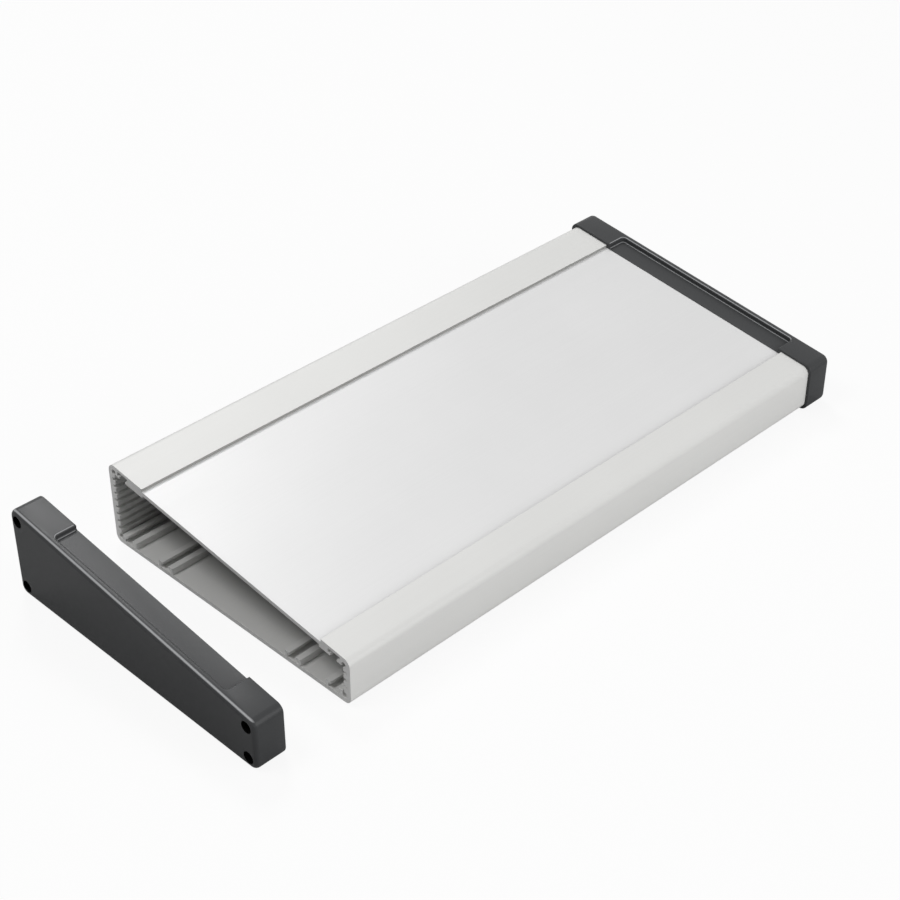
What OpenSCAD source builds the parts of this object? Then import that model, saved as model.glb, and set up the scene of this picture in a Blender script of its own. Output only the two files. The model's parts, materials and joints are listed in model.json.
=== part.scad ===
// Desk enclosure with a sloping top: one extruded aluminium profile and two moulded end caps.
// The far cap is screwed on. The near cap is taken off and stands in line with the open end.
// X runs along the extrusion, towards the far cap. Y runs from the low side to the tall side.

/* [Profile] */
// Depth of the profile from its low wall to its tall wall
profile_w = 163.5; // [130:0.5:220]
// Length that the profile is cut to
profile_len = 320; // [150:1:600]
// Height of the low wall, up to the line of the sloping top
low_wall_h = 24.2; // [22:0.1:40]
// Slope of the top, in degrees
slope = 7.3; // [4:0.1:10]
// Outer radius along the two bottom edges
bottom_r = 3.7; // [2.5:0.1:5]
// Outer radius along the two top edges
top_r = 4.1; // [2.5:0.1:5]
// Thickness of the side walls behind the guide grooves
side_t = 2.4; // [1.8:0.1:3.2]
// Thickness of the floor
floor_t = 2.2; // [1.6:0.1:3.2]

/* [Recessed panel] */
// Depth of the panel below the strips beside it
recess_d = 1.6; // [0.8:0.1:2.4]
// Thickness of the panel
panel_t = 2; // [1.4:0.1:2.6]
// Width of the raised strip along the low wall
low_strip_w = 18.1; // [15.5:0.1:24]
// Width of the raised strip along the tall wall
tall_strip_w = 25; // [18:0.1:34]
// How far the thick land under a strip runs on below the panel
land_run = 0.7; // [0.2:0.1:2]

/* [T-slots] */
// Width of a T-slot between its lips
slot_open = 4.2; // [3.2:0.1:5]
// Width of a T-slot behind its lips, for a square nut
slot_w = 7.4; // [6:0.1:8.4]
// Height of a T-slot behind its lips
slot_h = 2.2; // [1.8:0.1:3]
// Thickness of a T-slot's lips
lip_t = 1.2; // [0.8:0.1:1.8]
// Thickness of a strip above its T-slot
strip_t = 1.6; // [1.2:0.1:2.2]
// Thickness of the rail beside a floor T-slot
rail_t = 1.5; // [1.2:0.1:2.2]
// Distance from each wall to the outer floor T-slot and to the one under the tall strip
outer_slot = 10.6; // [10.4:0.1:12.5]
// Distance from each wall to the inner floor T-slot
inner_slot = 37.4; // [32:0.1:44]
// Distance from the low wall to the T-slot under the low strip
low_slot = 9.6; // [9.4:0.1:10.4]

/* [Guide grooves] */
// Distance between two grooves for a circuit board
groove_pitch = 4; // [3.4:0.1:6]
// Width of a groove
groove_w = 1.7; // [1.2:0.1:2.2]
// Depth of a groove
groove_d = 1.8; // [1:0.1:2.2]
// Height of the lowest groove above the profile's underside
first_groove = 8.65; // [8.2:0.05:12]
// Least height of rib left above the highest groove
last_rib = 1.1; // [0.6:0.1:3]

/* [Screw channels] */
// Distance from a screw's axis to the outer faces beside it
screw_inset = 3.9; // [3.7:0.1:4.8]
// Diameter of the channel that the screw cuts its thread in
channel_d = 2.8; // [2.2:0.1:3]
// Width of the slit along a channel
slit_w = 1; // [0.6:0.1:1.6]

/* [End caps] */
// Thickness of a cap along the extrusion
cap_t = 16; // [12:0.5:24]
// How far a cap stands proud of the profile all round
cap_proud = 1.4; // [0.6:0.1:2]
// Radius of a cap's long corners
cap_corner_r = 4.2; // [3.2:0.1:5.5]
// Radius round a cap's outer face
cap_edge_r = 2.2; // [1:0.1:3]
// Radius round the face that meets the profile
cap_seam_r = 0.7; // [0.3:0.1:1]
// Depth of the recess that carries the panel's field on across the cap
cap_recess_d = 2.7; // [1.6:0.1:3.4]
// Radius along the recess's upper edge
cap_recess_r = 1; // [0.6:0.1:1.4]
// Radius along the foot of the recess's walls
cap_foot_r = 0.8; // [0.3:0.1:1]
// Radius of the recess's two corners
cap_recess_corner_r = 2; // [1.1:0.1:3]
// Width of the rim that closes the recess
cap_rim = 4.1; // [3:0.1:6]
// Distance from the low strip's step to the recess
cap_low_step = 2.4; // [1.6:0.1:4]
// Distance from the tall strip's step to the recess
cap_tall_step = 1.7; // [1.6:0.1:4]
// Thickness of a cap's walls round its hollow
cap_wall = 3.8; // [3:0.1:4.6]
// Thickness of a cap's outer face
cap_face_t = 3.2; // [2.4:0.1:4.4]
// Thickness of the ribs inside a cap
cap_rib_t = 1.8; // [1.2:0.1:2.6]
// Number of upright ribs inside a cap
cap_ribs = 5; // [3:1:8]
// Distance that the loose cap stands off the open end
cap_gap = 37.3; // [20:0.1:80]

/* [Cap screws] */
// Diameter of the deep hole for a screw's head
head_hole_d = 6; // [5.8:0.1:6.6]
// Diameter of a screw's head
head_d = 5.4; // [4.6:0.1:5.6]
// Height of a screw's head
head_h = 2.4; // [1.6:0.1:3.2]
// Radius round the top of a screw's head
head_r = 0.6; // [0.3:0.1:0.8]
// Diameter of the hole that a screw's shank passes through
shank_hole_d = 3.4; // [3.2:0.1:4]
// Thickness of the wall under a screw's head
seat_t = 4; // [2.5:0.1:6]
// Thickness of the wall round a screw's head
boss_wall = 1.8; // [1.2:0.1:2.4]
// Length of a screw below its head
screw_len = 12; // [8:0.5:20]
// Gap between a screw's core and its channel
screw_play = 0.1; // [0.05:0.01:0.2]
// Width of the cross recess in a screw's head
cross_w = 0.8; // [0.5:0.1:1.2]
// Length of the cross recess in a screw's head
cross_l = 3.2; // [2:0.1:3.6]
// Depth of the cross recess in a screw's head
cross_d = 1.3; // [0.8:0.1:1.5]

/* [Hidden] */

// Facets of a true round, of a hull's edge rounds and of its corners
FINE = 64;
EDGE_FACETS = 24;
CORNER_FACETS = 48;
// Reach of a cut past the face that it opens
OVER = 1;
// Overlap of two cuts that meet inside a solid
LAP = 0.2;

// Heights are counted from the profile's underside until along_x lifts them onto the caps
rise = tan(slope);
tall_wall_h = low_wall_h + profile_w * rise;
land_t = strip_t + slot_h + lip_t;
rail_h = floor_t + slot_h + lip_t;
rib_tip = side_t + groove_d;

// Places along the slope, counted from the low wall's outer face
slope_len = profile_w / cos(slope);
panel_lo = low_strip_w;
panel_hi = slope_len - tall_strip_w;

// Places along X: the origin is below the middle of the whole assembly
assembly_len = 2 * cap_t + cap_gap + profile_len;
near_outer_x = -assembly_len / 2;
near_seam_x = near_outer_x + cap_t;
open_end_x = near_seam_x + cap_gap;
far_seam_x = open_end_x + profile_len;

// The cap's recess, along the slope
cap_panel_lo = panel_lo + cap_low_step;
cap_panel_hi = panel_hi - cap_tall_step;

shank_d = channel_d - 2 * screw_play;
head_hole_depth = cap_t - seat_t;
boss_d = head_hole_d + 2 * boss_wall;
recess_edge_r = min(cap_recess_r, cap_recess_d / 2);
recess_foot_r = min(cap_foot_r, cap_recess_corner_r / 2, cap_recess_d / 2);

// Height of the sloping top at a distance from the low wall
function top_at(y) = low_wall_h + y * rise;

// The four corners of the profile's outline, grown by an amount all round
function outline(grow) = let (lift = grow / cos(slope)) [
    [-grow, -grow],
    [profile_w + grow, -grow],
    [profile_w + grow, top_at(profile_w + grow) + lift],
    [-grow, top_at(-grow) + lift]
];

// Unit vector from one point to another
function heading(from, to) = (to - from) / norm(to - from);

// Unit vectors from corner i of an outline to the corners before and after it
function to_last(points, i) = heading(points[i], points[(i + 3) % 4]);
function to_next(points, i) = heading(points[i], points[(i + 1) % 4]);

// Half the angle inside corner i of an outline
function half_angle(points, i) = acos(to_last(points, i) * to_next(points, i)) / 2;

// Centre of the round of radius r in corner i
function round_centre(points, i, r) = points[i]
    + heading([0, 0], to_last(points, i) + to_next(points, i)) * r / sin(half_angle(points, i));

// The two points where the round of radius r leaves the sides of corner i
function tangents(points, i, r) = let (run = r / tan(half_angle(points, i))) [
    points[i] + to_last(points, i) * run,
    points[i] + to_next(points, i) * run
];

profile_corners = outline(0);
profile_radii = [bottom_r, bottom_r, top_r, top_r];
cap_corners = outline(cap_proud);

// The four screw axes: low wall bottom and top, then tall wall bottom and top
screw_axes = [
    for (y = [screw_inset, profile_w - screw_inset]) each [
        [y, screw_inset],
        [y, top_at(y) - screw_inset / cos(slope)]
    ]
];

// Turns a section in Y and Z into a solid from x, len long
module along_x(x, len) {
    translate([x, -profile_w / 2, cap_proud]) rotate([90, 0, 90])
        linear_extrude(len) children();
}

// Moves a section so that its X runs up the slope and its Y is the height above the top
module on_top() {
    translate([0, low_wall_h]) rotate(slope) children();
}

// Moves a solid so that its Y runs up the slope and its Z is the height above the top
module on_top_solid() {
    translate([0, -profile_w / 2, cap_proud + low_wall_h]) rotate([slope, 0, 0]) children();
}

// Moves a section from the low wall to the tall wall as its mirror image
module at_tall_wall() {
    translate([profile_w, 0]) mirror([1, 0]) children();
}

// The outline of the profile with its four rounded corners
module profile_outline() {
    polygon([for (i = [0:3]) each tangents(profile_corners, i, profile_radii[i])]);
    for (i = [0:3])
        translate(round_centre(profile_corners, i, profile_radii[i]))
            circle(profile_radii[i], $fn = FINE);
}

// Opening of a T-slot, its back at y = 0 and its mouth upwards
module t_slot() {
    translate([-slot_w / 2, 0]) square([slot_w, slot_h]);
    translate([-slot_open / 2, 0]) square([slot_open, slot_h + lip_t + OVER]);
}

// The solids on one half of the floor: the foot block with a screw channel, and the rails
module floor_blocks() {
    rails_w = slot_w + 2 * rail_t;
    square([outer_slot + rails_w / 2, rail_h]);
    translate([inner_slot - rails_w / 2, 0]) square([rails_w, rail_h]);
}

// The two T-slots in one half of the floor
module floor_slots() {
    for (y = [outer_slot, inner_slot]) translate([y, floor_t]) t_slot();
}

// The space inside the profile, down to the tips of the ribs and clear of every block
module main_hollow() {
    reach = slope_len + tall_wall_h;
    difference() {
        intersection() {
            translate([rib_tip, floor_t]) square([profile_w - 2 * rib_tip, reach]);
            union() {
                on_top() translate([0, -reach - land_t]) square([slope_len, reach]);
                on_top() translate([panel_lo + land_run, -reach - recess_d - panel_t])
                    square([panel_hi - panel_lo - 2 * land_run, reach]);
            }
        }
        floor_blocks();
        at_tall_wall() floor_blocks();
    }
}

// Circuit board grooves in the low wall's side, as far up as the land above leaves room
module grooves(land_z) {
    for (z = [first_groove:groove_pitch:land_z - last_rib - groove_w / 2])
        translate([side_t, z - groove_w / 2]) square([groove_d + OVER, groove_w]);
}

// A screw channel at the low wall with the slit that runs from it to the inside
module channel(z, slit_end) {
    translate([screw_inset, z]) circle(d = channel_d, $fn = FINE);
    translate([rib_tip, min(z, slit_end)]) square([slit_w, abs(slit_end - z)]);
}

// Grooves, screw channels and floor T-slots of one wall's half; top_z is the top above its ribs
module wall_cuts(top_z) {
    land_z = top_z - land_t / cos(slope);
    grooves(land_z);
    floor_slots();
    channel(screw_inset, rail_h + OVER);
    channel(top_z - screw_inset / cos(slope), land_z - OVER);
}

// The whole section of the extrusion
module profile_section() {
    difference() {
        profile_outline();
        main_hollow();
        wall_cuts(top_at(screw_inset));
        at_tall_wall() wall_cuts(top_at(profile_w - screw_inset));
        on_top() translate([panel_lo, -recess_d])
            square([panel_hi - panel_lo, recess_d + OVER]);
        for (y = [low_slot, profile_w - outer_slot])
            on_top() translate([y / cos(slope), -strip_t]) mirror([0, 1]) t_slot();
    }
}

// The one-piece extrusion
module profile() {
    color("gainsboro") along_x(open_end_x, profile_len) profile_section();
}

// One corner of a cap as a round button, its outer face at z = 0
module cap_button() {
    rotate_extrude($fn = CORNER_FACETS) intersection() {
        square([cap_corner_r, cap_t]);
        union() {
            square([cap_corner_r - cap_edge_r, cap_t]);
            translate([0, cap_edge_r]) square([cap_corner_r, cap_t - cap_edge_r - cap_seam_r]);
            translate([0, cap_t / 2]) square([cap_corner_r - cap_seam_r, cap_t / 2]);
            translate([cap_corner_r - cap_edge_r, cap_edge_r])
                circle(cap_edge_r, $fn = EDGE_FACETS);
            translate([cap_corner_r - cap_seam_r, cap_t - cap_seam_r])
                circle(cap_seam_r, $fn = EDGE_FACETS);
        }
    }
}

// The cap's block with all its outer edges rounded
module cap_block() {
    hull() for (i = [0:3])
        let (centre = round_centre(cap_corners, i, cap_corner_r))
            translate([0, centre[0] - profile_w / 2, centre[1] + cap_proud])
                rotate([90, 0, 90]) cap_button();
}

// Section of the round that leads over an edge, taken from the corner at the origin
module edge_flare() {
    difference() {
        translate([-LAP, -recess_edge_r]) square([recess_edge_r + LAP, recess_edge_r + OVER]);
        translate([recess_edge_r, -recess_edge_r]) circle(recess_edge_r, $fn = FINE);
    }
}

// Section of the cut that makes one wall of the recess, the cap's top at y = 0. It starts
// as far behind the centre of the corner's round as back says.
module recess_side(back) {
    translate([-back, recess_foot_r - cap_recess_d])
        square([cap_recess_corner_r + back, cap_recess_d - recess_foot_r + OVER]);
    translate([-back, -cap_recess_d])
        square([cap_recess_corner_r - recess_foot_r + back, cap_recess_d]);
    translate([cap_recess_corner_r - recess_foot_r, recess_foot_r - cap_recess_d])
        circle(recess_foot_r, $fn = FINE);
    translate([cap_recess_corner_r, 0]) edge_flare();
}

// The recess across a cap, open towards the profile and closed by the rim
module cap_recess() {
    inner_lo = cap_panel_lo + cap_recess_corner_r;
    inner_hi = cap_panel_hi - cap_recess_corner_r;
    inner_x = cap_rim + cap_recess_corner_r;
    run = cap_t + OVER - inner_x;
    on_top_solid() translate([0, 0, cap_proud]) {
        translate([inner_x, inner_lo, -cap_recess_d])
            cube([run, inner_hi - inner_lo, cap_recess_d + OVER]);
        translate([inner_x, inner_hi, 0]) rotate([90, 0, 90])
            linear_extrude(run) recess_side(LAP);
        translate([inner_x, inner_lo, 0]) rotate([90, 0, 90])
            linear_extrude(run) mirror([1, 0]) recess_side(LAP);
        translate([inner_x, inner_hi, 0]) rotate([90, 0, 0])
            linear_extrude(inner_hi - inner_lo) mirror([1, 0]) recess_side(LAP);
        for (y = [inner_lo, inner_hi])
            translate([inner_x, y, 0]) rotate_extrude($fn = FINE) recess_side(0);
    }
}

// Section of the cells inside a cap, between its walls, ribs and screw bosses
module cap_cells() {
    lo = cap_wall - cap_proud;
    span = profile_w - 2 * lo;
    ceiling = cap_proud - cap_recess_d - cap_wall;
    long_rib_z = (lo + top_at(lo) + ceiling) / 2;
    difference() {
        intersection() {
            translate([lo, lo]) square([span, tall_wall_h]);
            on_top() translate([0, ceiling - tall_wall_h]) square([slope_len, tall_wall_h]);
        }
        for (i = [1:cap_ribs])
            translate([lo + i * span / (cap_ribs + 1) - cap_rib_t / 2, 0])
                square([cap_rib_t, tall_wall_h]);
        translate([lo, long_rib_z - cap_rib_t / 2]) square([span, cap_rib_t]);
        for (axis = screw_axes) translate(axis) circle(d = boss_d, $fn = FINE);
    }
}

// A moulded end cap, its outer face at x = 0 and its seam face at x = cap_t
module end_cap() {
    color("dimgray") difference() {
        cap_block();
        cap_recess();
        along_x(cap_face_t, cap_t) cap_cells();
        for (axis = screw_axes) {
            along_x(-OVER, head_hole_depth + OVER) translate(axis) circle(d = head_hole_d, $fn = FINE);
            along_x(0, cap_t + OVER) translate(axis) circle(d = shank_hole_d, $fn = FINE);
        }
    }
}

module near_end_cap() {
    translate([near_outer_x, 0, 0]) end_cap();
}

module far_end_cap() {
    translate([far_seam_x + cap_t, 0, 0]) mirror([1, 0, 0]) end_cap();
}

// A screw along +Z, with the seat of its head at z = 0
module cap_screw() {
    translate([0, 0, -screw_len]) cylinder(d = shank_d, h = screw_len + head_h / 2, $fn = FINE);
    difference() {
        rotate_extrude($fn = FINE) intersection() {
            square([head_d / 2, head_h]);
            union() {
                square([head_d / 2, head_h - head_r]);
                square([head_d / 2 - head_r, head_h]);
                translate([head_d / 2 - head_r, head_h - head_r]) circle(head_r, $fn = FINE);
            }
        }
        for (turn = [0, 90])
            rotate(turn) translate([-cross_l / 2, -cross_w / 2, head_h - cross_d])
                cube([cross_l, cross_w, cross_d + OVER]);
    }
}

// The four screws that hold the far cap
module cap_screws() {
    color("silver") for (axis = screw_axes)
        translate([far_seam_x + seat_t, axis[0] - profile_w / 2, axis[1] + cap_proud])
            rotate([0, 90, 0]) cap_screw();
}

profile();
far_end_cap();
near_end_cap();
cap_screws();
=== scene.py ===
"""Dresses and lights a desk enclosure with a sloping top.

One extruded aluminium profile lies open at its near end. A moulded cap stands off
that end, and a second cap is screwed to the far end. Lengths are in metres.
"""

import json
import logging
import math
from dataclasses import dataclass, field
from enum import Enum

import bpy
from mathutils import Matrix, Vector

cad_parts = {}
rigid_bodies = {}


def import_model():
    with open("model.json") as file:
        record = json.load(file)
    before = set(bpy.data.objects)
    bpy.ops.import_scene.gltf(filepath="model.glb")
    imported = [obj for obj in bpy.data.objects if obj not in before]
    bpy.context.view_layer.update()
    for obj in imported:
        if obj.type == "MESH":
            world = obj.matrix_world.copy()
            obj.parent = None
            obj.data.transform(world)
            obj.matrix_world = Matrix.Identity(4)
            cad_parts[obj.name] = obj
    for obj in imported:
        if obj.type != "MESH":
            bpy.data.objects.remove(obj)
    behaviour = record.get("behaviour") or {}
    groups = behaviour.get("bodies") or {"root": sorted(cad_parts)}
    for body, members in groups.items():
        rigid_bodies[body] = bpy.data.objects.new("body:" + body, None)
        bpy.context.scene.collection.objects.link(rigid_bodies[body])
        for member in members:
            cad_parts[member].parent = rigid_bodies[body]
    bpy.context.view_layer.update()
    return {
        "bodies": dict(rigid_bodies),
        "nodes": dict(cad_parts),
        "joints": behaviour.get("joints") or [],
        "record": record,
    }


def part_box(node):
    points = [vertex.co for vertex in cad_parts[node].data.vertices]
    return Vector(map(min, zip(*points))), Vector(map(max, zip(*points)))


Colour = tuple[float, float, float, float]
Span = tuple[float, float]
Triple = tuple[float, float, float]

LOG = logging.getLogger("enclosure")
OFF_TO_ON: Span = (0.0, 1.0)
ON_TO_OFF: Span = (1.0, 0.0)
WHITE: Colour = (1.0, 1.0, 1.0, 1.0)


class Slot(Enum):
    """The material slots that the record names."""

    PROFILE = "anodised_profile"
    CAP = "cap_plastic"
    SCREW = "screw_steel"


class Axis(Enum):
    """The three directions of the shared frame."""

    X = 0
    Y = 1
    Z = 2


class MaterialBench:
    """Lays out the shader nodes of one material."""

    def __init__(self, name: str) -> None:
        """Starts an empty material.

        Args:
            name: The material's name.
        """
        self.material = bpy.data.materials.new(name)
        self.material.use_nodes = True
        self.tree = self.material.node_tree
        self.tree.nodes.clear()
        self.surface = self.add("ShaderNodeBsdfPrincipled")
        output = self.add("ShaderNodeOutputMaterial")
        self.wire(self.surface.outputs["BSDF"], output.inputs["Surface"])

    def add(self, kind: str, **settings: object) -> bpy.types.Node:
        """Adds a node.

        Args:
            kind: Blender's name for the node's type.
            **settings: Properties of the node, by name.

        Returns:
            The new node.
        """
        node = self.tree.nodes.new(kind)
        for key, value in settings.items():
            setattr(node, key, value)
        return node

    def wire(self, source: bpy.types.NodeSocket, target: bpy.types.NodeSocket) -> None:
        """Joins an output to an input."""
        self.tree.links.new(source, target)

    def feed(self, value: object, target: bpy.types.NodeSocket) -> None:
        """Gives an input a socket to follow or a fixed value.

        Args:
            value: An output socket, a number or a tuple.
            target: The input that takes it.
        """
        if isinstance(value, bpy.types.NodeSocket):
            self.wire(value, target)
        else:
            target.default_value = value

    def math(self, operation: str, *values: object) -> bpy.types.NodeSocket:
        """Works out one number.

        Args:
            operation: Blender's name for the sum.
            *values: Sockets or numbers.

        Returns:
            The socket that holds the result.
        """
        node = self.add("ShaderNodeMath", operation=operation)
        for value, target in zip(values, node.inputs):
            self.feed(value, target)
        return node.outputs["Value"]

    def times(self, *values: object) -> bpy.types.NodeSocket:
        """Multiplies numbers.

        Args:
            *values: Two or more sockets or numbers.

        Returns:
            The socket that holds their product.
        """
        product = values[0]
        for value in values[1:]:
            product = self.math("MULTIPLY", product, value)
        return product

    def far_off(self, first: object, second: object) -> bpy.types.NodeSocket:
        """Joins two square distances into the straight one.

        Args:
            first: The distance one way.
            second: The distance the other way.

        Returns:
            The socket that holds the straight distance.
        """
        squares = self.math("ADD", self.times(first, first), self.times(second, second))
        return self.math("SQRT", squares)

    def split(self, vector: bpy.types.NodeSocket) -> bpy.types.bpy_prop_collection:
        """Splits a vector.

        Args:
            vector: The socket of the vector.

        Returns:
            The sockets of its three parts, under X, Y and Z.
        """
        node = self.add("ShaderNodeSeparateXYZ")
        self.wire(vector, node.inputs[0])
        return node.outputs

    def dot(self, vector: bpy.types.NodeSocket, direction: Vector) -> bpy.types.NodeSocket:
        """Measures a vector along a direction.

        Args:
            vector: The socket of the vector.
            direction: A unit vector.

        Returns:
            The socket that holds the length along it.
        """
        node = self.add("ShaderNodeVectorMath", operation="DOT_PRODUCT")
        self.wire(vector, node.inputs[0])
        node.inputs[1].default_value = direction
        return node.outputs["Value"]

    def ramp(
        self,
        value: bpy.types.NodeSocket,
        span: Span,
        result: Span = OFF_TO_ON,
    ) -> bpy.types.NodeSocket:
        """Maps one range onto another and stops at its ends.

        Args:
            value: The number to map.
            span: Where the range starts and ends.
            result: What the two ends become.

        Returns:
            The socket that holds the mapped number.
        """
        node = self.add("ShaderNodeMapRange", clamp=True)
        self.wire(value, node.inputs["Value"])
        node.inputs["From Min"].default_value, node.inputs["From Max"].default_value = span
        node.inputs["To Min"].default_value, node.inputs["To Max"].default_value = result
        return node.outputs["Result"]

    def blend(
        self, share: object, first: object, second: object, way: str = "MIX"
    ) -> bpy.types.NodeSocket:
        """Mixes two colours.

        Args:
            share: How much of the second colour shows.
            first: A colour or the socket of one.
            second: A colour or the socket of one.
            way: Blender's name for how the two mix.

        Returns:
            The socket that holds the mixed colour.
        """
        node = self.add("ShaderNodeMix", data_type="RGBA", blend_type=way)
        self.feed(share, node.inputs["Factor"])
        colours = [s for s in node.inputs if s.type == "RGBA"]
        self.feed(first, colours[0])
        self.feed(second, colours[1])
        return next(s for s in node.outputs if s.type == "RGBA")

    def place(self) -> bpy.types.NodeSocket:
        """The point on the piece, in its own frame."""
        return self.add("ShaderNodeTexCoord").outputs["Object"]

    def facing(self) -> bpy.types.NodeSocket:
        """The direction that the surface faces."""
        return self.add("ShaderNodeNewGeometry").outputs["Normal"]

    def stretched(self, place: bpy.types.NodeSocket, scale: Triple) -> bpy.types.NodeSocket:
        """Stretches a place for a grain that runs one way.

        Args:
            place: The socket of the place.
            scale: Grains for each metre along X, Y and Z.

        Returns:
            The socket of the stretched place.
        """
        node = self.add("ShaderNodeMapping")
        node.inputs["Scale"].default_value = scale
        self.wire(place, node.inputs["Vector"])
        return node.outputs["Vector"]

    def noise(
        self, place: bpy.types.NodeSocket, scale: float = 1.0, detail: float = 2.0
    ) -> bpy.types.NodeSocket:
        """Adds a cloudy pattern.

        Args:
            place: The socket of the place.
            scale: Clouds for each unit of the place.
            detail: How many finer layers it has.

        Returns:
            The socket of the pattern, near 0.5 on the whole.
        """
        node = self.add("ShaderNodeTexNoise")
        node.inputs["Scale"].default_value = scale
        node.inputs["Detail"].default_value = detail
        self.wire(place, node.inputs["Vector"])
        return next(s for s in node.outputs if s.type == "VALUE")

    def line_noise(
        self, along: bpy.types.NodeSocket, scale: float, detail: float = 2.0
    ) -> bpy.types.NodeSocket:
        """Adds a pattern of lines across one length.

        Args:
            along: The socket of the length.
            scale: Lines for each metre.
            detail: How many finer layers it has.

        Returns:
            The socket of the pattern.
        """
        node = self.add("ShaderNodeTexNoise", noise_dimensions="1D")
        node.inputs["Scale"].default_value = scale
        node.inputs["Detail"].default_value = detail
        self.wire(along, node.inputs["W"])
        return next(s for s in node.outputs if s.type == "VALUE")

    def bump(
        self,
        height: bpy.types.NodeSocket,
        strength: object,
        depth: float,
        base: bpy.types.NodeSocket | None = None,
    ) -> bpy.types.NodeSocket:
        """Turns a pattern into relief.

        Args:
            height: The socket of the pattern.
            strength: How much of the relief shows.
            depth: The relief's depth.
            base: The relief that this one lies on, if any.

        Returns:
            The socket of the normal.
        """
        node = self.add("ShaderNodeBump")
        self.feed(strength, node.inputs["Strength"])
        node.inputs["Distance"].default_value = depth
        self.wire(height, node.inputs["Height"])
        if base is not None:
            self.wire(base, node.inputs["Normal"])
        return node.outputs["Normal"]

    def broken_edge(self, radius: float, samples: int = 6) -> bpy.types.NodeSocket:
        """The normal of an edge that a small radius breaks.

        Args:
            radius: The radius.
            samples: How many rays look for the edge.

        Returns:
            The socket of the normal.
        """
        node = self.add("ShaderNodeBevel", samples=samples)
        node.inputs["Radius"].default_value = radius
        return node.outputs["Normal"]

    def normal_along(self, axis: Axis) -> bpy.types.NodeSocket:
        """How squarely the surface faces one way, either side of it.

        Args:
            axis: The direction.

        Returns:
            The socket that holds 0 for edge on and 1 for square on.
        """
        return self.math("ABSOLUTE", self.split(self.facing())[axis.value])


@dataclass(frozen=True)
class ProfileMarks:
    """The places on the profile that its finish follows."""

    field_middle: Vector
    field_normal: Vector
    field_half_width: float
    low: Vector
    high: Vector


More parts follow.
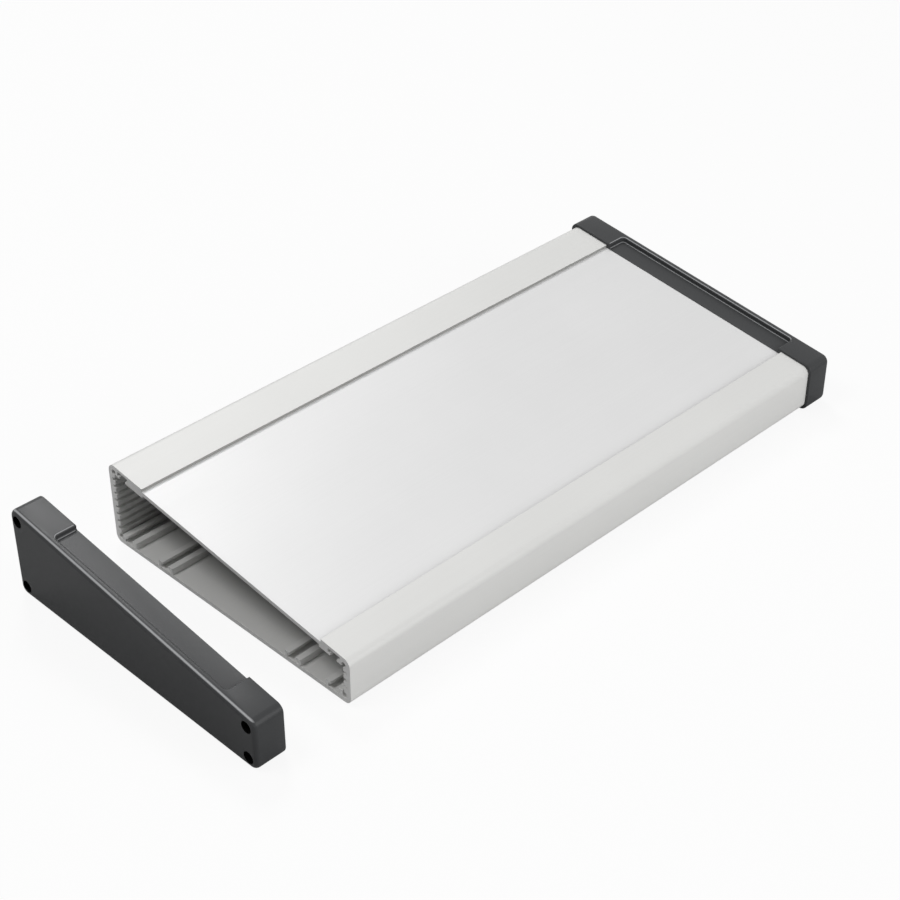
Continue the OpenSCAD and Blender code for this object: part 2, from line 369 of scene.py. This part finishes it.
@dataclass(frozen=True)
class AnodisedFinish:
    """Satin anodised aluminium with the die's lines and sawn ends.

    The flat field between the two strips has a whiter, finer surface than they have,
    and a line of painted shade lies along the step below the tall strip. Deeper than a
    little way into the closed section, the metal is painted darker as shade.
    """

    colour: Colour = (0.78, 0.78, 0.765, 1.0)
    field_colour: Colour = (0.81, 0.81, 0.81, 1.0)
    field_skin: Span = (-0.0008, -0.0004)
    painted_step_shade: Colour = (0.34, 0.34, 0.33, 1.0)
    step_reach: Span = (0.0007, 0.001)
    step_foot: Span = (-0.0003, -0.0001)
    step_upright: Span = (0.80, 0.93)
    sawn_colour: Colour = (0.85, 0.85, 0.84, 1.0)
    sawn_facing: Span = (0.9, 0.98)
    painted_inner_shade: Colour = (0.25, 0.25, 0.246, 1.0)
    inner_shade_reach: Span = (0.010, 0.038)
    panel: float = 0.002
    wall: float = 0.0022
    soft: float = 0.0001
    metallic: float = 0.06
    specular: float = 0.3
    strip_roughness: float = 0.5
    field_roughness: float = 0.4
    contrast: Span = (0.3, 0.7)
    die_lines: Triple = (5.0, 1500.0, 1500.0)
    die_line_tone: Span = (-0.008, 0.008)
    die_line_gloss: Span = (-0.03, 0.03)
    die_line_relief: float = 0.5
    die_line_depth: float = 0.000005
    clouds: float = 14.0
    cloud_tone: Span = (0.985, 1.015)
    grain: float = 5200.0
    grain_relief: float = 0.4
    grain_depth: float = 0.000004
    saw_reach: float = 0.19
    saw_lines: float = 2600.0
    saw_relief: float = 0.6
    saw_depth: float = 0.00002
    edge: float = 0.00025

    def make(self, marks: ProfileMarks) -> bpy.types.Material:
        """Builds the material.

        Args:
            marks: The places that the finish follows.

        Returns:
            The material.
        """
        bench = MaterialBench("satin_anodised_aluminium")
        place = bench.place()
        middle, normal = marks.field_middle, marks.field_normal
        up_slope = Vector((0.0, normal.z, -normal.y))
        across = bench.math("SUBTRACT", bench.dot(place, up_slope), middle.dot(up_slope))
        height = bench.math("SUBTRACT", bench.dot(place, normal), middle.dot(normal))
        on_field = bench.times(
            bench.ramp(
                bench.math("ABSOLUTE", across),
                (marks.field_half_width - self.soft, marks.field_half_width),
                ON_TO_OFF,
            ),
            bench.ramp(height, self.field_skin),
        )
        from_step = bench.math("SUBTRACT", across, marks.field_half_width)
        on_shaded_step = bench.times(
            bench.ramp(bench.math("ABSOLUTE", from_step), self.step_reach, ON_TO_OFF),
            bench.ramp(height, self.step_foot),
            bench.ramp(bench.normal_along(Axis.Z), self.step_upright, ON_TO_OFF),
        )
        sawn = bench.ramp(bench.normal_along(Axis.X), self.sawn_facing)
        lines = bench.noise(bench.stretched(place, self.die_lines), detail=3.0)
        clouds = bench.noise(place, self.clouds, detail=2.0)

        tint = bench.add("ShaderNodeCombineColor")
        shade = bench.math(
            "ADD",
            bench.ramp(lines, self.contrast, self.die_line_tone),
            bench.ramp(clouds, self.contrast, self.cloud_tone),
        )
        for name in ("Red", "Green", "Blue"):
            bench.wire(shade, tint.inputs[name])
        skin = bench.blend(on_field, self.colour, self.field_colour)
        skin = bench.blend(1.0, skin, tint.outputs["Color"], "MULTIPLY")
        # painted shade: a dark line on the upright wall of the step below the tall strip
        skin = bench.blend(on_shaded_step, skin, self.painted_step_shade)
        # painted shade: the metal deep inside the closed section is darkened
        skin = bench.blend(self.inner_shade_share(bench, height, marks), skin, self.painted_inner_shade)
        skin = bench.blend(sawn, skin, self.sawn_colour)
        bench.wire(skin, bench.surface.inputs["Base Color"])

        roughness = bench.math(
            "ADD",
            bench.ramp(on_field, OFF_TO_ON, (self.strip_roughness, self.field_roughness)),
            bench.ramp(lines, self.contrast, self.die_line_gloss),
        )
        bench.wire(roughness, bench.surface.inputs["Roughness"])
        bench.surface.inputs["Metallic"].default_value = self.metallic
        bench.surface.inputs["Specular IOR Level"].default_value = self.specular
        bench.wire(self.relief(bench, lines, sawn), bench.surface.inputs["Normal"])
        return bench.material

    def inner_shade_share(
        self, bench: MaterialBench, height: bpy.types.NodeSocket, marks: ProfileMarks
    ) -> bpy.types.NodeSocket:
        """Works out how much painted shade darkens the metal inside the section.

        Args:
            bench: The material's bench.
            height: The height over the field.
            marks: The places that the finish follows.

        Returns:
            The socket that holds 0 on the skin and 1 deep inside, where the shade is painted.
        """
        along, aside, above = bench.split(bench.place())
        low, high, soft = marks.low, marks.high, self.soft
        half_length, middle = (high.x - low.x) / 2, (high.x + low.x) / 2
        from_middle = bench.math("ABSOLUTE", bench.math("SUBTRACT", along, middle))
        depth = bench.math("SUBTRACT", half_length, from_middle)
        side = high.y - self.wall
        floor = low.z + self.wall
        return bench.times(
            bench.ramp(bench.math("ABSOLUTE", aside), (side, side + soft), ON_TO_OFF),
            bench.ramp(height, (soft - self.panel, 2 * soft - self.panel), ON_TO_OFF),
            bench.ramp(above, (floor - 2 * soft, floor - soft)),
            bench.ramp(depth, self.inner_shade_reach),
        )

    def relief(
        self, bench: MaterialBench, lines: bpy.types.NodeSocket, sawn: bpy.types.NodeSocket
    ) -> bpy.types.NodeSocket:
        """Lays the die's lines, the grain and the saw's arcs over the surface.

        Args:
            bench: The material's bench.
            lines: The pattern of the die's lines.
            sawn: The share of sawn metal.

        Returns:
            The socket of the normal.
        """
        parts = bench.split(bench.place())
        offset = bench.math("ADD", parts["Y"], self.saw_reach)
        drop = bench.math("ADD", parts["Z"], self.saw_reach)
        arcs = bench.line_noise(bench.far_off(offset, drop), self.saw_lines)
        drawn = bench.times(bench.math("SUBTRACT", 1.0, sawn), self.die_line_relief)
        relief = bench.broken_edge(self.edge)
        relief = bench.bump(lines, drawn, self.die_line_depth, relief)
        grain = bench.noise(bench.place(), self.grain, detail=2.0)
        relief = bench.bump(grain, self.grain_relief, self.grain_depth, relief)
        return bench.bump(arcs, bench.times(sawn, self.saw_relief), self.saw_depth, relief)


@dataclass(frozen=True)
class MouldedFinish:
    """Graphite plastic with the fine grain of a spark-eroded mould.

    The upper rounds that turn to the open side or down the slope are smoother than the
    flats and carry a painted highlight, and the deep holes for the screws' heads are painted dark
    as shade.
    """

    colour: Colour = (0.052, 0.0536, 0.0556, 1.0)
    flow_colour: Colour = (0.058, 0.0597, 0.0617, 1.0)
    flow: Triple = (40.0, 9.0, 25.0)
    flow_contrast: Span = (0.35, 0.65)
    painted_highlight_colour: Colour = (0.42, 0.427, 0.436, 1.0)
    round_foot: Span = (0.68, 0.80)
    round_crown: Span = (0.945, 0.98)
    turned: Span = (-0.45, -0.15)
    step_reach: Span = (0.07, 0.071)
    seam: float = 0.17865
    seam_reach: Span = (0.0007, 0.0011)
    painted_bore_shade: Colour = (0.003, 0.003, 0.003, 1.0)
    bore_r: float = 0.003
    bore_skin: Span = (0.00003, 0.00012)
    seat: float = 0.004
    seat_skin: Span = (-0.0006, -0.0003)
    roughness: float = 0.34
    round_roughness: float = 0.26
    specular: float = 0.15
    grain: float = 2400.0
    grain_contrast: Span = (0.3, 0.7)
    grain_gloss: Span = (-0.05, 0.05)
    grain_relief: float = 0.35
    grain_depth: float = 0.00003
    pits: float = 7000.0
    pit_relief: float = 0.25
    pit_depth: float = 0.00001

    def make(self, bores: list[Vector]) -> bpy.types.Material:
        """Builds the material.

        Args:
            bores: A point on the axis of each screw hole.

        Returns:
            The material.
        """
        bench = MaterialBench("grained_graphite_plastic")
        place = bench.place()
        grain = bench.noise(place, self.grain, detail=3.0)
        pits = bench.noise(place, self.pits, detail=1.0)
        flow = bench.noise(bench.stretched(place, self.flow), detail=3.0)
        where = bench.split(place)
        on_painted_highlight = self.painted_highlight_rounds(bench, where)

        skin = bench.blend(bench.ramp(flow, self.flow_contrast), self.colour, self.flow_colour)
        # painted highlight: the upper rounds turned to the open side or down the slope are
        # lightened
        skin = bench.blend(on_painted_highlight, skin, self.painted_highlight_colour)
        # painted shade: the deep holes for the screws' heads are coloured near black
        skin = bench.blend(self.in_shaded_bore(bench, where, bores), skin, self.painted_bore_shade)
        bench.wire(skin, bench.surface.inputs["Base Color"])
        roughness = bench.math(
            "ADD",
            bench.ramp(on_painted_highlight, OFF_TO_ON, (self.roughness, self.round_roughness)),
            bench.ramp(grain, self.grain_contrast, self.grain_gloss),
        )
        bench.wire(roughness, bench.surface.inputs["Roughness"])
        bench.surface.inputs["Specular IOR Level"].default_value = self.specular
        relief = bench.bump(grain, self.grain_relief, self.grain_depth)
        relief = bench.bump(pits, self.pit_relief, self.pit_depth, relief)
        bench.wire(relief, bench.surface.inputs["Normal"])
        return bench.material

    def painted_highlight_rounds(
        self, bench: MaterialBench, where: bpy.types.bpy_prop_collection
    ) -> bpy.types.NodeSocket:
        """Finds the upper rounds that carry the painted highlight: those turned to the open side
        or down the slope.

        Args:
            bench: The material's bench.
            where: The three parts of the place.

        Returns:
            The socket that holds 0 on a flat and 1 on a round with the painted highlight.
        """
        facing = bench.split(bench.facing())
        shoulder = bench.times(
            bench.ramp(facing["Z"], self.round_foot),
            bench.ramp(facing["Z"], self.round_crown, ON_TO_OFF),
        )
        from_middle = bench.math("ABSOLUTE", where["X"])
        start, end = self.seam_reach
        past_seam = bench.ramp(from_middle, (self.seam + start, self.seam + end))
        outward = bench.ramp(facing["X"], self.turned, ON_TO_OFF)
        downhill = bench.times(
            bench.ramp(facing["Y"], self.turned, ON_TO_OFF),
            bench.ramp(bench.math("ABSOLUTE", where["Y"]), self.step_reach, ON_TO_OFF),
        )
        return bench.times(shoulder, past_seam, bench.math("MAXIMUM", outward, downhill))

    def in_shaded_bore(
        self, bench: MaterialBench, where: bpy.types.bpy_prop_collection, bores: list[Vector]
    ) -> bpy.types.NodeSocket:
        """Finds the deep holes for the screws' heads, where shade is painted.

        Args:
            bench: The material's bench.
            where: The three parts of the place.
            bores: A point on the axis of each screw hole.

        Returns:
            The socket that holds 1 in a hole and 0 elsewhere.
        """
        nearest = None
        for bore in bores:
            aside = bench.math("SUBTRACT", where["Y"], bore.y)
            above = bench.math("SUBTRACT", where["Z"], bore.z)
            away = bench.far_off(aside, above)
            nearest = away if nearest is None else bench.math("MINIMUM", nearest, away)
        start, end = (self.seam + self.seat + skin for skin in self.seat_skin)
        inner, outer = (self.bore_r + skin for skin in self.bore_skin)
        return bench.times(
            bench.ramp(bench.math("ABSOLUTE", where["X"]), (start, end)),
            bench.ramp(nearest, (inner, outer), ON_TO_OFF),
        )


@dataclass(frozen=True)
class ZincFinish:
    """Bright zinc plate over turned steel."""

    colour: Colour = (0.62, 0.63, 0.66, 1.0)
    dull_colour: Colour = (0.45, 0.46, 0.47, 1.0)
    roughness: Span = (0.28, 0.43)
    clouds: float = 900.0
    cloud_contrast: Span = (0.35, 0.65)
    gloss_contrast: Span = (0.3, 0.7)
    lathe_lines: Triple = (9000.0, 300.0, 300.0)
    lathe_relief: float = 0.5
    lathe_depth: float = 0.000006
    edge: float = 0.00015

    def make(self) -> bpy.types.Material:
        """Builds the material.

        Returns:
            The material.
        """
        bench = MaterialBench("bright_zinc_plate")
        place = bench.place()
        clouds = bench.noise(place, self.clouds, detail=3.0)
        lines = bench.noise(bench.stretched(place, self.lathe_lines), detail=2.0)
        skin = bench.blend(bench.ramp(clouds, self.cloud_contrast), self.colour, self.dull_colour)
        bench.wire(skin, bench.surface.inputs["Base Color"])
        roughness = bench.ramp(clouds, self.gloss_contrast, self.roughness)
        bench.wire(roughness, bench.surface.inputs["Roughness"])
        bench.surface.inputs["Metallic"].default_value = 1.0
        edge = bench.broken_edge(self.edge)
        relief = bench.bump(lines, self.lathe_relief, self.lathe_depth, edge)
        bench.wire(relief, bench.surface.inputs["Normal"])
        return bench.material


@dataclass
class SmoothRounds:
    """Shades the faces of a round as one surface and keeps true corners sharp."""

    weld: float = 0.000002
    sharp_angle: float = math.radians(24.0)
    group: bpy.types.NodeTree | None = None

    def make(self) -> bpy.types.NodeTree:
        """Builds the group of geometry nodes once.

        Returns:
            The group.
        """
        if self.group is not None:
            return self.group
        group = bpy.data.node_groups.new("smooth_rounds", "GeometryNodeTree")
        group.interface.new_socket("Geometry", in_out="INPUT", socket_type="NodeSocketGeometry")
        group.interface.new_socket("Geometry", in_out="OUTPUT", socket_type="NodeSocketGeometry")
        nodes, links = group.nodes, group.links
        start, end = nodes.new("NodeGroupInput"), nodes.new("NodeGroupOutput")
        bare = nodes.new("GeometryNodeRemoveAttribute")
        bare.inputs["Name"].default_value = "custom_normal"
        weld = nodes.new("GeometryNodeMergeByDistance")
        weld.inputs["Distance"].default_value = self.weld
        faces = nodes.new("GeometryNodeSetShadeSmooth")
        edges = nodes.new("GeometryNodeSetShadeSmooth")
        edges.domain = "EDGE"
        angle = nodes.new("GeometryNodeInputMeshEdgeAngle")
        sharp = nodes.new("FunctionNodeCompare")
        sharp.data_type, sharp.operation = "FLOAT", "LESS_THAN"
        sharp.inputs["B"].default_value = self.sharp_angle
        links.new(start.outputs[0], bare.inputs["Geometry"])
        links.new(bare.outputs["Geometry"], weld.inputs["Geometry"])
        links.new(weld.outputs["Geometry"], faces.inputs["Geometry"])
        links.new(faces.outputs["Geometry"], edges.inputs["Geometry"])
        links.new(angle.outputs["Unsigned Angle"], sharp.inputs["A"])
        links.new(sharp.outputs["Result"], edges.inputs["Shade Smooth"])
        links.new(edges.outputs["Geometry"], end.inputs[0])
        self.group = group
        return group

    def apply(self, piece: bpy.types.Object) -> None:
        """Adds the shading to a piece, whose own mesh stays as it is.

        Args:
            piece: The piece.
        """
        modifier = piece.modifiers.new("smooth_rounds", "NODES")
        modifier.node_group = self.make()


def dress(piece: bpy.types.Object, material: bpy.types.Material) -> None:
    """Gives a piece its material.

    Args:
        piece: The piece.
        material: The material.
    """
    piece.data.materials.clear()
    piece.data.materials.append(material)
    LOG.info("%s: %s, %d faces", piece.name, material.name, len(piece.data.polygons))


@dataclass
class SlopingProfile:
    """The one-piece extrusion with its recessed field, grooves and T-slots."""

    node: str = "profile"
    field_mount: str = "panel_field"
    field_half_width: float = 0.06087
    finish: AnodisedFinish = field(default_factory=AnodisedFinish)

    def build(self, frame: dict, rounds: SmoothRounds) -> None:
        """Dresses the profile.

        Args:
            rounds: The shading for its rounds.
        """
        mount = next(m for m in frame["record"]["mounts"] if m["name"] == self.field_mount)
        middle, normal = mount_place(mount)
        piece = frame["nodes"][self.node]
        marks = ProfileMarks(middle, normal, self.field_half_width, *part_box(self.node))
        dress(piece, self.finish.make(marks))
        rounds.apply(piece)


@dataclass
class EndCaps:
    """The two moulded caps: one screwed on, one standing off the open end."""

    nodes: tuple[str, ...] = ("near_end_cap", "far_end_cap")
    hole_mounts: str = "near_cap_hole_"
    finish: MouldedFinish = field(default_factory=MouldedFinish)

    def build(self, frame: dict, rounds: SmoothRounds) -> None:
        """Dresses both caps.

        Args:
            rounds: The shading for their rounds.
        """
        bores = [
            mount_place(m)[0]
            for m in frame["record"]["mounts"]
            if m["name"].startswith(self.hole_mounts)
        ]
        material = self.finish.make(bores)
        for name in self.nodes:
            piece = frame["nodes"][name]
            dress(piece, material)
            rounds.apply(piece)


@dataclass
class CapScrews:
    """The four screws in the far cap."""

    node: str = "cap_screws"
    finish: ZincFinish = field(default_factory=ZincFinish)

    def build(self, frame: dict, rounds: SmoothRounds) -> None:
        """Dresses the screws.

        Args:
            rounds: The shading for their rounds.
        """
        piece = frame["nodes"][self.node]
        dress(piece, self.finish.make())
        rounds.apply(piece)


def mount_place(mount: dict) -> tuple[Vector, Vector]:
    """Reads where a mount is and which way it faces.

    Args:
        mount: One mount of the record.

    Returns:
        Its point and its direction.
    """
    return Vector(mount["pos_m"]), Vector(mount["axis"]).normalized()


@dataclass
class Lamp:
    """A rectangular soft lamp that looks at a point."""

    name: str
    place: Triple
    target: Triple
    size: tuple[float, float]
    power: float

    def build(self) -> None:
        """Hangs the lamp."""
        data = bpy.data.lights.new(self.name, "AREA")
        data.shape, data.energy = "RECTANGLE", self.power
        data.size, data.size_y = self.size
        lamp = bpy.data.objects.new(self.name, data)
        lamp.location = self.place
        aim = Vector(self.target) - Vector(self.place)
        lamp.rotation_euler = aim.to_track_quat("-Z", "Y").to_euler()
        bpy.context.scene.collection.objects.link(lamp)
        LOG.info("%s: %.1f W", self.name, self.power)


@dataclass
class Studio:
    """The pale floor, the soft lamps and the world round them."""

    floor_half: float = 6.0
    floor_drop: float = 0.00005
    floor_seen: Colour = (0.95, 0.95, 0.95, 1.0)
    floor_bounce: Colour = (0.6, 0.6, 0.6, 1.0)
    floor_white: float = 0.9
    floor_rays: tuple[str, ...] = ("Is Transmission Ray",)
    sky: float = 0.22
    sky_rays: tuple[str, ...] = ("Is Glossy Ray", "Is Transmission Ray")
    lamps: tuple[Lamp, ...] = (
        Lamp(
            name="key_softbox",
            place=(0.74, 1.32, 1.75),
            target=(0.0, 0.0, 0.02),
            size=(0.6, 0.6),
            power=16.5,
        ),
        Lamp(
            name="side_softbox",
            place=(-0.65, 0.35, 1.15),
            target=(-0.1, 0.0, 0.02),
            size=(0.5, 0.5),
            power=5.0,
        ),
        Lamp(
            name="front_softbox",
            place=(0.3, -1.5, 0.60),
            target=(0.05, 0.0, 0.02),
            size=(1.2, 1.0),
            power=13.3,
        ),
    )

    def build(self) -> None:
        """Sets up the studio."""
        self.lay_floor()
        self.light_world()
        for lamp in self.lamps:
            lamp.build()

    def white_share(
        self, tree: bpy.types.NodeTree, most: float, others: tuple[str, ...]
    ) -> bpy.types.NodeSocket:
        """Works out how much plain white a ray sees.

        Args:
            tree: The node tree to add to.
            most: The share for the rays that see it.
            others: The rays that see it as well as those from the camera.

        Returns:
            The socket that holds the share.
        """
        path = tree.nodes.new("ShaderNodeLightPath")
        total = path.outputs["Is Camera Ray"]
        for name in others:
            either = tree.nodes.new("ShaderNodeMath")
            either.operation = "MAXIMUM"
            tree.links.new(total, either.inputs[0])
            tree.links.new(path.outputs[name], either.inputs[1])
            total = either.outputs[0]
        share = tree.nodes.new("ShaderNodeMath")
        share.operation = "MULTIPLY"
        share.inputs[1].default_value = most
        tree.links.new(total, share.inputs[0])
        return share.outputs[0]

    def lay_floor(self) -> None:
        """Lays a plain floor that keeps a soft shadow."""
        mesh = bpy.data.meshes.new("studio_floor")
        half = self.floor_half
        corners = [(-half, -half, 0.0), (half, -half, 0.0), (half, half, 0.0), (-half, half, 0.0)]
        mesh.from_pydata(corners, [], [(0, 1, 2, 3)])
        floor = bpy.data.objects.new("studio_floor", mesh)
        floor.location.z = -self.floor_drop
        bpy.context.scene.collection.objects.link(floor)
        material = bpy.data.materials.new("pale_floor")
        material.use_nodes = True
        tree = material.node_tree
        tree.nodes.clear()
        plain = tree.nodes.new("ShaderNodeBsdfDiffuse")
        paint = tree.nodes.new("ShaderNodeMix")
        paint.data_type = "RGBA"
        colours = [s for s in paint.inputs if s.type == "RGBA"]
        colours[0].default_value, colours[1].default_value = self.floor_bounce, self.floor_seen
        tree.links.new(self.white_share(tree, 1.0, self.floor_rays), paint.inputs["Factor"])
        tree.links.new(next(s for s in paint.outputs if s.type == "RGBA"), plain.inputs["Color"])
        white = tree.nodes.new("ShaderNodeEmission")
        white.inputs["Strength"].default_value = 1.0
        mix = tree.nodes.new("ShaderNodeMixShader")
        output = tree.nodes.new("ShaderNodeOutputMaterial")
        share = self.white_share(tree, self.floor_white, self.floor_rays)
        tree.links.new(share, mix.inputs[0])
        tree.links.new(plain.outputs[0], mix.inputs[1])
        tree.links.new(white.outputs[0], mix.inputs[2])
        tree.links.new(mix.outputs[0], output.inputs["Surface"])
        mesh.materials.append(material)

    def light_world(self) -> None:
        """Lights the world evenly and shows it white."""
        world = bpy.data.worlds.new("studio_world")
        bpy.context.scene.world = world
        world.use_nodes = True
        tree = world.node_tree
        tree.nodes.clear()
        light = tree.nodes.new("ShaderNodeBackground")
        light.inputs["Color"].default_value = WHITE
        light.inputs["Strength"].default_value = self.sky
        white = tree.nodes.new("ShaderNodeBackground")
        white.inputs["Color"].default_value = WHITE
        mix = tree.nodes.new("ShaderNodeMixShader")
        output = tree.nodes.new("ShaderNodeOutputWorld")
        tree.links.new(self.white_share(tree, 1.0, self.sky_rays), mix.inputs[0])
        tree.links.new(light.outputs[0], mix.inputs[1])
        tree.links.new(white.outputs[0], mix.inputs[2])
        tree.links.new(mix.outputs[0], output.inputs["Surface"])


@dataclass
class Camera:
    """The camera, looking down on the low side and the open end."""

    place: Triple = (-0.539181, -0.538958, 0.562200)
    azimuth: float = math.radians(-45.0)
    elevation: float = math.radians(35.264)
    lens: float = 76.958
    sensor: float = 36.0
    clip: Span = (0.05, 30.0)

    def build(self) -> None:
        """Stands the camera and makes it the scene's own."""
        data = bpy.data.cameras.new("studio_camera")
        data.lens, data.sensor_width = self.lens, self.sensor
        data.clip_start, data.clip_end = self.clip
        camera = bpy.data.objects.new("studio_camera", data)
        camera.location = self.place
        camera.rotation_euler = (math.pi / 2 - self.elevation, 0.0, self.azimuth)
        bpy.context.scene.collection.objects.link(camera)
        bpy.context.scene.camera = camera
        bpy.context.scene.view_settings.view_transform = "Standard"


def main() -> None:
    """Loads the frame, dresses its pieces and lights them."""
    logging.basicConfig(level=logging.INFO, format="%(name)s: %(message)s")
    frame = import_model()
    rounds = SmoothRounds()
    for assembly in (SlopingProfile(), EndCaps(), CapScrews()):
        assembly.build(frame, rounds)
    Studio().build()
    Camera().build()


if __name__ == "__main__":
    main()
